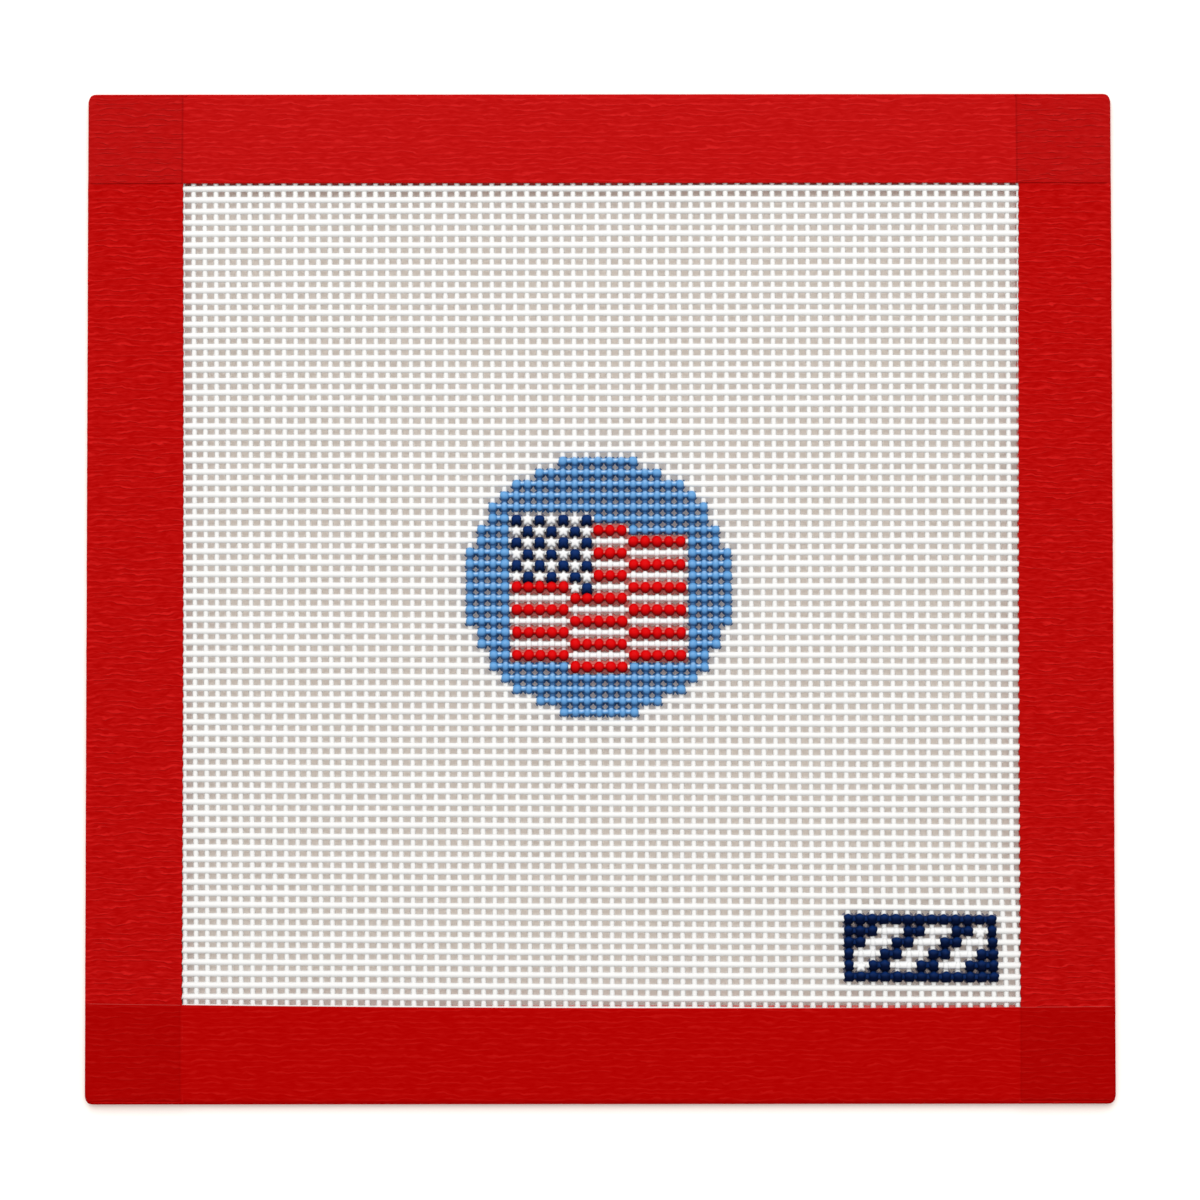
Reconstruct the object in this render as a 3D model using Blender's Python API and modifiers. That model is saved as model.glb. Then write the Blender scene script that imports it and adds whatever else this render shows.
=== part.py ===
"""A needlepoint canvas panel: a square of open canvas, bound with paper tape folded over its edges.

The panel lies flat with its face up. X runs across it, Y up it, and Z out of its face. The origin
is on the surface that it lies on, under the middle of the panel.
"""

import math

import bmesh
import bpy

# Driving sizes, in metres.
PANEL_WIDTH = 0.1270  # over the folds of the left and right strips
PANEL_HEIGHT = 0.1250  # over the folds of the top and bottom strips
CANVAS_THICK = 0.0010
TAPE_THICK = 0.0010
TAPE_WIDTH = 0.0250  # before it is folded
FOLD_TAKES = 0.0012  # how much of the tape's width goes round the canvas's edge
GAP = 0.0003  # between pieces that touch
CORNER_RADIUS = 0.0008  # of the panel's four corners, seen from above

# How far each strip reaches in from the panel's edge, on the face.
LEFT_REACH = 0.0119
RIGHT_REACH = 0.0117
TOP_REACH = 0.0112
BOTTOM_REACH = 0.0119

# The steps that round shapes are made in.
FOLD_STEPS = 12  # of the half turn round the canvas's edge
CORNER_STEPS = 5  # of the quarter turn at a corner

# Sizes that follow from those above.
FOLD_RADIUS = CANVAS_THICK / 2 + GAP + TAPE_THICK / 2  # to the middle of the tape
EDGE_INSET = FOLD_RADIUS + TAPE_THICK / 2  # from the panel's edge to the middle of the fold
MIDDLE_Z = EDGE_INSET  # the canvas's middle plane
CANVAS_WIDTH = PANEL_WIDTH - 2 * EDGE_INSET
CANVAS_HEIGHT = PANEL_HEIGHT - 2 * EDGE_INSET
CUT_MARGIN = 0.001  # how far a cutter, or what it trims, stands past the cut
OUTLINE_SLACK = 0.00005  # keeps the outline's cutter off the folds of the strips that it trims

# Colours, as linear light.
CANVAS_WHITE = (0.86, 0.84, 0.80, 1.0)
TAPE_RED = (0.50, 0.006, 0.005, 1.0)


def clear_scene():
    for obj in list(bpy.data.objects):
        bpy.data.objects.remove(obj, do_unlink=True)


def new_collection(name):
    collection = bpy.data.collections.new(name)
    bpy.context.scene.collection.children.link(collection)
    return collection


def new_material(name, colour, roughness):
    material = bpy.data.materials.new(name)
    material.use_nodes = True
    shader = material.node_tree.nodes["Principled BSDF"]
    shader.inputs["Base Color"].default_value = colour
    shader.inputs["Roughness"].default_value = roughness
    shader.inputs["Metallic"].default_value = 0.0
    material.diffuse_color = colour
    return material


def new_object(name, shape, collection, material=None):
    """An object made from a bmesh, which this frees."""
    bmesh.ops.recalc_face_normals(shape, faces=shape.faces)
    mesh = bpy.data.meshes.new(name)
    shape.to_mesh(mesh)
    shape.free()
    if material:
        mesh.materials.append(material)
    obj = bpy.data.objects.new(name, mesh)
    collection.objects.link(obj)
    return obj


def box(size, centre):
    shape = bmesh.new()
    bmesh.ops.create_cube(shape, size=1.0)
    bmesh.ops.scale(shape, vec=size, verts=shape.verts)
    bmesh.ops.translate(shape, vec=centre, verts=shape.verts)
    return shape


def back_reach(face_reach):
    """How far a strip reaches in on the back: what its fold and its face leave of the tape."""
    return TAPE_WIDTH - face_reach - FOLD_TAKES


def fold_section(face_reach):
    """The tape's middle line, from its edge on the face, round the fold, to its edge on the back.

    Each point is how far it lies inside the panel's edge, and its height.
    """
    points = [(face_reach, MIDDLE_Z + FOLD_RADIUS)]
    for step in range(FOLD_STEPS + 1):
        angle = math.pi * step / FOLD_STEPS
        inside = EDGE_INSET - FOLD_RADIUS * math.sin(angle)
        points.append((inside, MIDDLE_Z + FOLD_RADIUS * math.cos(angle)))
    points.append((back_reach(face_reach), MIDDLE_Z - FOLD_RADIUS))
    return points


def tape_strip(name, turn, edge, face_reach, length, collection, material):
    """A strip of tape folded over the edge of the canvas.

    It is modelled over the right-hand edge, which lies edge from the middle, and then turned
    about Z by turn degrees.
    """
    section = fold_section(face_reach)
    segments = len(section) - 1
    shape = bmesh.new()
    bmesh.ops.create_grid(shape, x_segments=segments, y_segments=1, size=1.0)
    for vert in shape.verts:
        inside, height = section[round((vert.co.x + 1) / 2 * segments)]
        vert.co = (edge - inside, vert.co.y * length / 2, height)
    strip = new_object(name, shape, collection, material)
    strip.data.shade_smooth()
    strip.data.set_sharp_from_angle(angle=math.radians(40))
    strip.rotation_euler = (0.0, 0.0, math.radians(turn))
    thicken = strip.modifiers.new("Thickness", "SOLIDIFY")
    thicken.thickness = TAPE_THICK
    thicken.offset = 0.0
    thicken.use_even_offset = True
    return strip


def lap_cutter(name, side, reach, face_up, collection):
    """Where a flap of the top or bottom strip lies, with its clearance to the side strips.

    side is +1 for the top strip and -1 for the bottom one. face_up is True for the face's flap.
    """
    inner = PANEL_HEIGHT / 2 - reach - GAP
    outer = PANEL_HEIGHT / 2 + CUT_MARGIN
    low = MIDDLE_Z + CANVAS_THICK / 2
    high = 2 * MIDDLE_Z + CUT_MARGIN
    size = (PANEL_WIDTH + 2 * CUT_MARGIN, outer - inner, high - low)
    height = (low + high) / 2 if face_up else 2 * MIDDLE_Z - (low + high) / 2
    cutter = new_object(name, box(size, (0.0, side * (inner + outer) / 2, height)), collection)
    cutter.hide_render = True
    cutter.display_type = "WIRE"
    return cutter


def lap_cutters(collection):
    """One cutter for each flap of the top and bottom strips, which lie over the side strips."""
    cutters = []
    for name, side, face_reach in (("top", 1, TOP_REACH), ("bottom", -1, BOTTOM_REACH)):
        cutters.append(lap_cutter(f"{name}_face_lap", side, face_reach, True, collection))
        reach = back_reach(face_reach)
        cutters.append(lap_cutter(f"{name}_back_lap", side, reach, False, collection))
    return cutters


def outline_cutter(collection):
    """The panel's outline seen from above, with its round corners."""
    depth = 2 * MIDDLE_Z + 2 * CUT_MARGIN
    size = (PANEL_WIDTH, PANEL_HEIGHT + 2 * OUTLINE_SLACK, depth)
    shape = box(size, (0.0, 0.0, MIDDLE_Z))
    upright = [edge for edge in shape.edges if edge.verts[0].co.xy == edge.verts[1].co.xy]
    bmesh.ops.bevel(
        shape,
        geom=upright,
        offset=CORNER_RADIUS,
        segments=CORNER_STEPS,
        profile=0.5,
        affect="EDGES",
    )
    cutter = new_object("panel_outline", shape, collection)
    cutter.hide_render = True
    cutter.display_type = "WIRE"
    return cutter


def cut(obj, cutter, operation):
    modifier = obj.modifiers.new(cutter.name, "BOOLEAN")
    modifier.operation = operation
    modifier.solver = "EXACT"
    modifier.object = cutter


def main():
    clear_scene()
    pieces = new_collection("needlepoint_canvas_panel")
    hidden = new_collection("cutters")
    laps = lap_cutters(hidden)
    outline = outline_cutter(hidden)
    canvas_white = new_material("canvas_white", CANVAS_WHITE, 0.8)
    tape_red = new_material("tape_red", TAPE_RED, 0.6)

    canvas_size = (CANVAS_WIDTH, CANVAS_HEIGHT, CANVAS_THICK)
    new_object("canvas", box(canvas_size, (0.0, 0.0, MIDDLE_Z)), pieces, canvas_white)

    # The side strips go on first. Their flaps end at the top and bottom strips, under which only
    # their folds run on to the corners.
    for name, turn, reach in (("tape_left", 180, LEFT_REACH), ("tape_right", 0, RIGHT_REACH)):
        edge = PANEL_WIDTH / 2
        strip = tape_strip(name, turn, edge, reach, CANVAS_HEIGHT, pieces, tape_red)
        for lap in laps:
            cut(strip, lap, "DIFFERENCE")

    # The top and bottom strips go over their ends, across the whole panel.
    for name, turn, reach in (("tape_top", 90, TOP_REACH), ("tape_bottom", -90, BOTTOM_REACH)):
        edge = PANEL_HEIGHT / 2
        length = PANEL_WIDTH + 2 * CUT_MARGIN
        strip = tape_strip(name, turn, edge, reach, length, pieces, tape_red)
        cut(strip, outline, "INTERSECT")


main()
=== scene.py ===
# %% [markdown]
# # A needlepoint canvas panel
# The real object is a small square of stiff white canvas. Its threads stand apart, so that each
# crossing can be stitched over. Some crossings are painted, as a chart for the stitcher, and red
# crepe paper tape is folded over the four cut edges. The solids that this script loads are plain,
# and give each piece its place and size. All that is looked at is made here, thread by thread.

# %% Load the plain solids
import math

import bpy
import numpy as np
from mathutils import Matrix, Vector, noise


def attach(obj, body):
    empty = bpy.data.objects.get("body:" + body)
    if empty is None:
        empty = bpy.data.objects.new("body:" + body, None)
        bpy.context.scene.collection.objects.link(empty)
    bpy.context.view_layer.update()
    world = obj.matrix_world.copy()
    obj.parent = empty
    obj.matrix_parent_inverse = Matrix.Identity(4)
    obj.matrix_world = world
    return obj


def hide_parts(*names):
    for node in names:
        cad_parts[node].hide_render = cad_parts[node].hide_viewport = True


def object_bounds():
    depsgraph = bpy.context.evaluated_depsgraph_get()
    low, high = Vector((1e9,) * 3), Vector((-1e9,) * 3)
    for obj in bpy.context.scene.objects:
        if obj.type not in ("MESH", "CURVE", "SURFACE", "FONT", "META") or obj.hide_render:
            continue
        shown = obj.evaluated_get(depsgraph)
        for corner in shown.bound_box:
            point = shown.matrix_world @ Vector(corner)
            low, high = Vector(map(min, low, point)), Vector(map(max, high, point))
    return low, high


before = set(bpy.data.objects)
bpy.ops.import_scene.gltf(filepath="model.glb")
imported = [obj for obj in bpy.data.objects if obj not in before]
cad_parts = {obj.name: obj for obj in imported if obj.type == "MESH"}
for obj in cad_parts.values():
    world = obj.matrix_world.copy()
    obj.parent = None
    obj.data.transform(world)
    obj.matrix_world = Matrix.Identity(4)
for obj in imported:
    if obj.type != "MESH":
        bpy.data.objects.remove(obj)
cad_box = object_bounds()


def in_short(place, digits):
    """A place's numbers with so many digits, to print."""
    return [round(float(value), digits) for value in place]


print("the solids reach from", in_short(cad_box[0], 4), "to", in_short(cad_box[1], 4))

# %% [markdown]
# ## Shader maths as expressions
# A material in Blender is a graph of nodes, and a formula of ten steps is ten nodes with ten links.
# Wires like that are hard to read in a script. This class wraps an output socket, so that an
# expression such as `1 - mask * 0.5` adds and links the Math nodes. Colours go through Mix nodes.


# %% A socket that takes part in sums
class Wire:
    """An output socket of a node tree, with the operators that the materials below use."""

    def __init__(self, tree, socket):
        self.tree = tree
        self.socket = socket

    def node(self, kind, values=(), out=0, **settings):
        """Any other node: its settings are set first, and then its sockets' values or links."""
        made = self.tree.nodes.new(kind)
        for name, value in settings.items():
            setattr(made, name, value)
        for name, value in dict(values).items():
            if isinstance(value, Wire):
                self.tree.links.new(value.socket, made.inputs[name])
            else:
                made.inputs[name].default_value = value
        return Wire(self.tree, made.outputs[out])

    def maths(self, operation, *values):
        return self.node("ShaderNodeMath", dict(enumerate(values)), operation=operation)

    def __add__(self, other):
        return self.maths("ADD", self, other)

    def __sub__(self, other):
        return self.maths("SUBTRACT", self, other)

    def __rsub__(self, other):
        return self.maths("SUBTRACT", other, self)

    def __mul__(self, other):
        return self.maths("MULTIPLY", self, other)

    __radd__ = __add__
    __rmul__ = __mul__

    def size(self):
        """The value without its sign."""
        return self.maths("ABSOLUTE", self)

    def step(self, start, end):
        """0 before start, 1 after end, and smooth between them."""
        values = {"Value": self, "From Min": start, "From Max": end}
        return self.node("ShaderNodeMapRange", values, interpolation_type="SMOOTHSTEP")

    def wave(self, length):
        """A smooth wave between 0 and 1 that repeats after this length."""
        return self.maths("SINE", self * (2 * math.pi / length)) * 0.5 + 0.5

    def tint(self, low, high):
        """The colour low where this value is 0, and high where it is 1."""
        values = {"Factor": self, 6: low, 7: high}
        return self.node("ShaderNodeMix", values, out=2, data_type="RGBA")

    def axes(self):
        """The three numbers of a vector."""
        split = self.node("ShaderNodeSeparateXYZ", {"Vector": self})
        return [Wire(self.tree, output) for output in split.socket.node.outputs]

    def place(self, x, y, z):
        """A vector made of three values."""
        return self.node("ShaderNodeCombineXYZ", {"X": x, "Y": y, "Z": z})

    def grain(self, scale, detail=2.0, roughness=0.5):
        """Noise from 0 to 1 at this place."""
        values = {"Vector": self, "Scale": scale, "Detail": detail, "Roughness": roughness}
        return self.node("ShaderNodeTexNoise", values)


# %% A material to write on
MILLIMETRE = 0.001


def start_material(name, **constants):
    """A material with these constants on its shader, and its place on the object in millimetres."""
    material = bpy.data.materials.new(name)
    material.use_nodes = True
    tree = material.node_tree
    shader = tree.nodes["Principled BSDF"]
    for socket, value in constants.items():
        shader.inputs[socket.replace("_", " ")].default_value = value
    where = Wire(tree, tree.nodes.new("ShaderNodeTexCoord").outputs["Object"])
    values = {0: where, 1: (1 / MILLIMETRE,) * 3}
    return material, where.node("ShaderNodeVectorMath", values, operation="MULTIPLY")


def feed(material, **wires):
    """Links what varies over the surface to the shader."""
    shader = material.node_tree.nodes["Principled BSDF"]
    for socket, wire in wires.items():
        wire.tree.links.new(wire.socket, shader.inputs[socket.replace("_", " ")])
    return material


def bump(height, depth):
    """A normal from a height of 0 to 1 that stands for depth metres."""
    return height.node("ShaderNodeBump", {"Height": height, "Distance": depth, "Strength": 1.0})


# %% [markdown]
# ## The view and the light
# The panel lies on a white table and is seen from half a metre above, so nearly flat on. Its lower
# edge is a little nearer to the lens: the photograph's outline is 0.8% wider there. The light comes
# from the upper side at a middling height, which brightens the upper side of each thread and leaves
# its lower side grey. A large lamp and a bright surround keep the shadows soft, and the table glows
# a little, as the milk glass under a shop's photographs does.

# %% Camera
SENSOR_WIDTH = 36.0
VIEW_DISTANCE = 0.5
VIEW_TILT = math.radians(2.07)
VIEW_TURN = math.radians(-0.05)
VIEW_TARGET = Vector((0.0, -0.00035, 0.0))
LENS = 121.04  # the panel then fills 85% of the picture's width

camera = bpy.data.objects.new("camera", bpy.data.cameras.new("camera"))
bpy.context.scene.collection.objects.link(camera)
camera.data.sensor_width = SENSOR_WIDTH
camera.data.lens = LENS
camera.data.clip_start = 0.01
towards_lens = Vector((0.0, -math.sin(VIEW_TILT), math.cos(VIEW_TILT)))
camera.location = VIEW_TARGET + VIEW_DISTANCE * towards_lens
camera.rotation_euler = (VIEW_TILT, 0.0, VIEW_TURN)
bpy.context.scene.camera = camera
bpy.context.scene.view_settings.view_transform = "Standard"
print("camera at", in_short(camera.location, 3))


# %% Lamps, surround and table
def add_lamp(name, place, size, power):
    """A square lamp that faces the panel."""
    lamp = bpy.data.objects.new(name, bpy.data.lights.new(name, "AREA"))
    lamp.data.size = size
    lamp.data.energy = power
    lamp.location = place
    lamp.rotation_euler = (-Vector(place)).to_track_quat("-Z", "Y").to_euler()
    bpy.context.scene.collection.objects.link(lamp)


SURROUND_LIGHT = 0.66
TABLE_SIZE = 6.0
TABLE_DROP = 0.02 * MILLIMETRE  # keeps the table off the panel's lowest points
TABLE_GLOW = 0.10  # milk glass with a faint warm light below it, which lifts the shadows

add_lamp("key", (-0.03, 0.46, 0.84), size=0.8, power=7.5)

surround = bpy.data.worlds.new("surround")
surround.use_nodes = True
background = surround.node_tree.nodes["Background"]
background.inputs["Color"].default_value = (1.0, 1.0, 1.0, 1.0)
background.inputs["Strength"].default_value = SURROUND_LIGHT
bpy.context.scene.world = surround

half = TABLE_SIZE / 2
table_corners = ((-half, -half), (half, -half), (half, half), (-half, half))
table_mesh = bpy.data.meshes.new("table")
table_mesh.from_pydata([(x, y, -TABLE_DROP) for x, y in table_corners], [], [(0, 1, 2, 3)])
table = bpy.data.objects.new("table", table_mesh)
bpy.context.scene.collection.objects.link(table)
table_white, where = start_material(
    "table_white", Roughness=0.9, Specular_IOR_Level=0.1, Emission_Strength=TABLE_GLOW
)
mottle = where.grain(0.02)
feed(
    table_white,
    Base_Color=mottle.tint((0.94, 0.905, 0.86, 1.0), (0.96, 0.925, 0.88, 1.0)),
    Emission_Color=mottle.tint((1.0, 0.74, 0.62, 1.0), (1.0, 0.78, 0.66, 1.0)),
)
table.data.materials.append(table_white)
print("a lamp, a white surround and a table", TABLE_SIZE, "m wide")

# %% [markdown]
# ## Where the threads run
# Canvas like this has 18 threads to 25.4 mm each way. On the real one they aren't quite even: the
# first upright threads lie tighter, all of them lean and spread a little, and the level ones fan
# out. A short formula gives every crossing's place, so that the threads, the paint on them and the
# tape's edges all agree. Thread numbers count from the window's upper left corner.

# %% Thread numbers and places
COLUMNS, ROWS = 73, 72  # threads that show in the window
MIDDLE = 36  # the thread that the counts start from
COLUMN_PITCH, ROW_PITCH = 1.4557 * MILLIMETRE, 1.4102 * MILLIMETRE
SQUEEZE, SQUEEZE_FADE = 0.078 * MILLIMETRE, 16.3  # how much tighter the first upright ones are
MIDDLE_X, MIDDLE_Y = -0.248 * MILLIMETRE, -0.128 * MILLIMETRE
LEAN, LEAN_FROM = 0.00444, 22 * MILLIMETRE  # of the upright threads
SLOPE = -0.00242  # of the level threads
UPRIGHT_FAN, LEVEL_FAN = 0.0328, 0.0621  # how much the threads spread, for each metre
SAG, SAG_REACH = 0.075 * MILLIMETRE, 14 * MILLIMETRE  # of the threads that carry the round design
SAG_PLACE = (-2.0 * MILLIMETRE, 5.0 * MILLIMETRE)
SPREAD = 0.66 * MILLIMETRE  # of the upright threads at the lower right, round the small block
SPREAD_FROM, SPREAD_FADE = (22 * MILLIMETRE, -31 * MILLIMETRE), (30 * MILLIMETRE, 18 * MILLIMETRE)


def smooth(value):
    """0 below 0, 1 above 1, and a soft rise between them."""
    value = np.clip(value, 0, 1)
    return value * value * (3 - 2 * value)


def crossing(column, row):
    """Where an upright and a level thread meet, seen from above. Parts of threads count too."""
    packed = np.exp(-column / SQUEEZE_FADE) - math.exp(-MIDDLE / SQUEEZE_FADE)
    x = MIDDLE_X + COLUMN_PITCH * (column - MIDDLE) + SQUEEZE * SQUEEZE_FADE * packed
    y = MIDDLE_Y - ROW_PITCH * (row - MIDDLE)
    x = x + LEAN * (LEAN_FROM - y) + UPRIGHT_FAN * x * y
    rightness = smooth((x - SPREAD_FROM[0]) / SPREAD_FADE[0])
    lowness = smooth((SPREAD_FROM[1] - y) / SPREAD_FADE[1])
    x = x + SPREAD * rightness * lowness
    y = y + (SLOPE + LEVEL_FAN * y) * x
    away = ((x - SAG_PLACE[0]) ** 2 + (y - SAG_PLACE[1]) ** 2) / SAG_REACH**2
    return x, y - SAG * np.exp(-away / 2)


SEED = 18
WANDER = 0.035 * MILLIMETRE
WANDER_SLOW, WANDER_QUICK, QUICK_SHARE = 7.0, 3.1, 0.6
PHASE_COUNT, BELOW_ZERO = 100, 10  # room for every thread's number, and for those below 0
random = np.random.default_rng(SEED)
phases = {way: random.uniform(0, 2 * math.pi, (2, PHASE_COUNT)) for way in ("column", "row")}


def thread_phases(way, thread):
    """The two phases of a thread's waves."""
    return phases[way][:, np.asarray(thread, int) + BELOW_ZERO]


def wander(way, thread, along):
    """How far a thread strays sideways, in slow waves of its own."""
    first, second = thread_phases(way, thread)
    slow, quick = np.sin(along / WANDER_SLOW + first), np.sin(along / WANDER_QUICK + second)
    return WANDER * (slow + QUICK_SHARE * quick) / (1 + QUICK_SHARE)


print("the window's first crossing is at", in_short(crossing(0.0, 0.0), 5))

# %% [markdown]
# ## How high things lie
# Only the four taped corners touch the table, because two layers of tape lie there above the canvas
# and two below. Stiff canvas rises a little between its taped edges. One function gives the height
# of the canvas's middle, and everything else is measured from it.

# %% Heights
PANEL_WIDTH = cad_box[1].x - cad_box[0].x
PANEL_HEIGHT = cad_box[1].y - cad_box[0].y
UPRIGHT_RADIUS, LEVEL_RADIUS = 0.338 * MILLIMETRE, 0.393 * MILLIMETRE
LEVEL_RISE = 0.14 * MILLIMETRE  # of the level threads over the canvas's middle
UPRIGHT_SINK, UPRIGHT_DIP = 0.03 * MILLIMETRE, 0.12 * MILLIMETRE  # the dip is at each crossing
HALF_CANVAS = 0.53 * MILLIMETRE
PAPER = 0.15 * MILLIMETRE
LAP_AIR = 0.02 * MILLIMETRE  # between two layers of tape
EDGE_MIDDLE = HALF_CANVAS + 2 * (PAPER + LAP_AIR)
CROWN, CROWN_POWER = 0.80 * MILLIMETRE, 6  # reached soon after the tape ends, where it is free


def middle_height(x, y):
    """The height of the canvas's middle plane."""
    across = np.clip(np.abs(x) / (PANEL_WIDTH / 2), 0, 1)
    up = np.clip(np.abs(y) / (PANEL_HEIGHT / 2), 0, 1)
    return EDGE_MIDDLE + CROWN * (1 - across**CROWN_POWER) * (1 - up**CROWN_POWER)


centre_height = middle_height(0, 0) / MILLIMETRE
print("the canvas's middle is", round(centre_height, 2), "mm up at the window's centre")

# %% [markdown]
# ## Threads as tubes
# A thread could be a curve with a bevel, but thousands of bends are slow that way, and its section
# couldn't flatten. Here numpy places a ring of points at each step of every thread at once. A thread
# is flatter where another presses on it, and its ends are closed, as a cut thread's are.

# %% Tubes from paths
THREAD_SIDES = 6


def unit(vectors):
    return vectors / np.linalg.norm(vectors, axis=-1, keepdims=True)


def tube_points(path, wide, tall, sides=THREAD_SIDES):
    """Rings of points round paths of shape (threads, steps, 3). wide and tall are half widths."""
    forward = unit(np.gradient(path, axis=1))
    side = unit(np.cross(forward, (0.0, 0.0, 1.0)))
    up = np.cross(side, forward)
    angle = np.arange(sides) * 2 * math.pi / sides
    round_it = wide[..., None, None] * side[:, :, None] * np.cos(angle)[:, None]
    over_it = tall[..., None, None] * up[:, :, None] * np.sin(angle)[:, None]
    return path[:, :, None] + round_it + over_it


def tube_faces(threads, steps, sides=THREAD_SIDES):
    """The four-cornered faces of such rings, and the faces that close the ends."""
    number = np.arange(threads * steps * sides).reshape(threads, steps, sides)
    after = np.roll(number, -1, axis=2)
    walls = np.stack([number[:, :-1], after[:, :-1], after[:, 1:], number[:, 1:]], axis=-1)
    ends = np.concatenate([number[:, 0, ::-1], number[:, -1]])
    return walls.reshape(-1, 4).tolist() + ends.tolist()


class Shape:
    """Points and faces gathered from several parts, which become one mesh."""

    def __init__(self):
        self.points, self.faces, self.marks, self.count = [], [], [], 0

    def add(self, points, faces, mark=0.0):
        points = points.reshape(-1, 3)
        self.faces += [[corner + self.count for corner in face] for face in faces]
        self.points.append(points)
        self.marks.append(np.broadcast_to(mark, len(points)))
        self.count += len(points)

    def build(self, name, material, mark_name=None):
        mesh = bpy.data.meshes.new(name)
        mesh.from_pydata(np.concatenate(self.points), [], self.faces)
        mesh.shade_smooth()
        mesh.materials.append(material)
        if mark_name:
            marks = mesh.attributes.new(mark_name, "FLOAT", "POINT")
            marks.data.foreach_set("value", np.concatenate(self.marks).astype(np.float32))
        made = bpy.data.objects.new(name, mesh)
        bpy.context.scene.collection.objects.link(made)
        triangles = sum(len(face) - 2 for face in self.faces)
        print(f"{name}: {triangles} triangles")
        return made


# %% [markdown]
# ## The canvas
# This is an interlock canvas. Its level threads run nearly straight, and each upright one dips
# behind every level one and is locked to it with size, so that all crossings look alike. The canvas
# runs on under the tape to the folds, where a thread needs only one step for each crossing. The
# whole would be a very dense mesh, so it is built as three bands of rows. Paint draws the threads
# that carry it thin, so the round design's place is settled first.

# %% Where the round design lies, in threads
DISC_COLUMN, DISC_ROW, DISC_RADIUS = 36, 35, 11.5
FLAG_LEFT, FLAG_TOP = 29, 29
FLAG_COLUMNS, FLAG_ROWS = 15, 14
FLAG_HALF = ((FLAG_COLUMNS - 1) / 2, (FLAG_ROWS - 1) / 2)
FLAG_MIDDLE = (FLAG_LEFT + FLAG_HALF[0], FLAG_TOP + FLAG_HALF[1])
print("the flag's middle is at thread", FLAG_MIDDLE)

# %% Paths of the threads
UPRIGHT_STEPS, LEVEL_STEPS = 4, 2  # for each crossing in the window
LEVEL_SHIFT = 0.035 * MILLIMETRE  # a thick thread's middle lies above its lower edge's shade
UNDER_LEFT, UNDER_RIGHT = -7, 78  # the last upright threads, under the side strips
UNDER_TOP, UNDER_BOTTOM = -7, 79  # the last level threads, under the top and bottom strips
CUT_INSET = PAPER + 0.5 * MILLIMETRE  # from the panel's edge to the canvas's cut edge
WAXING, WAXING_QUICK, WAXING_SLOW = 0.027, 2.3, 5.9  # how much its thickness comes and goes
FLAG_THINNING, FLAG_DROP = 0.30, 0.06 * MILLIMETRE  # drying paint draws these threads thin
FLAG_MARGIN, FLAG_FADE = 0.9, 0.6  # how many threads outside the flag that ends, and how fast
GROUND_THINNING, GROUND_MARGIN = 0.22, 0.8  # of the level threads in the round ground


def in_flag(column, row):
    """1 for a place inside the flag, 0 outside it, and smooth between them."""
    inside = 1.0
    for place, middle, half in zip((column, row), FLAG_MIDDLE, FLAG_HALF):
        inside = inside * smooth((half + FLAG_MARGIN - np.abs(place - middle)) / FLAG_FADE)
    return inside


def in_ground(column, row):
    """The same for the round ground that lies round the flag."""
    away = np.hypot(column - DISC_COLUMN, row - DISC_ROW)
    return smooth(DISC_RADIUS + GROUND_MARGIN - away) * (1 - in_flag(column, row))


def steps_between(first, last, window, steps):
    """Fine steps in the window, which has this many threads, and whole ones under the tape."""
    fine = np.arange(max(first, -1) * steps, min(last, window) * steps + 1) / steps
    before = np.arange(first, min(last, -1))
    after = np.arange(max(first, window) + 1, last + 1)
    return np.concatenate([before, fine, after])


def upright(columns, along):
    """Paths of upright threads through these row numbers, one line for each thread."""
    column, row = np.meshgrid(columns, along, indexing="ij")
    x, y = crossing(column, row)
    x = x + wander("column", column, row)
    z = middle_height(x, y) - UPRIGHT_SINK - UPRIGHT_DIP * np.cos(math.pi * row) ** 2
    return np.stack([x, y, z], axis=-1)


def level(rows, along):
    """Paths of level threads through these column numbers, one line for each thread."""
    row, column = np.meshgrid(rows, along, indexing="ij")
    x, y = crossing(column, row)
    y = y + wander("row", row, column) + LEVEL_SHIFT - FLAG_DROP * in_flag(column, row)
    return np.stack([x, y, middle_height(x, y) + LEVEL_RISE], axis=-1)


def thickness(way, radius, threads, along, spread, press):
    """Half widths and half heights of threads, which are pressed wider and flatter at crossings."""
    thread, along = np.meshgrid(threads, along, indexing="ij")
    first, second = thread_phases(way, thread)
    place = (thread, along) if way == "column" else (along, thread)
    radius = radius * (1 - FLAG_THINNING * in_flag(*place))
    if way == "row":
        radius = radius * (1 - GROUND_THINNING * in_ground(*place))
    waves = np.sin(along / WAXING_QUICK + second) + np.sin(along / WAXING_SLOW + first)
    radius = radius * (1 + WAXING * waves)
    pressed = np.cos(math.pi * along) ** 2
    return radius * (1 + spread * pressed), radius * (1 - press * pressed)


def upright_thickness(columns, along):
    return thickness("column", UPRIGHT_RADIUS, columns, along, spread=0.16, press=0.12)


def level_thickness(rows, along):
    return thickness("row", LEVEL_RADIUS, rows, along, spread=0.02, press=0.08)


def run_to_cut(path, axis):
    """Adds each thread's end, at the canvas's cut edge, to both ends of its path."""
    edge = (PANEL_WIDTH, PANEL_HEIGHT)[axis] / 2 - CUT_INSET
    ends = []
    for end, inner in ((path[:, :1], path[:, 1:2]), (path[:, -1:], path[:, -2:-1])):
        left_over = np.sign(end[..., axis]) * edge - end[..., axis]
        share = left_over / (end[..., axis] - inner[..., axis])
        moved = end + share[..., None] * (end - inner)
        moved[..., 2] = middle_height(moved[..., 0], moved[..., 1])
        ends.append(moved)
    return ends


# %% Three bands of canvas
BANDS = {"upper": (UNDER_TOP, 23), "middle": (24, 47), "lower": (48, UNDER_BOTTOM)}


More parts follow.
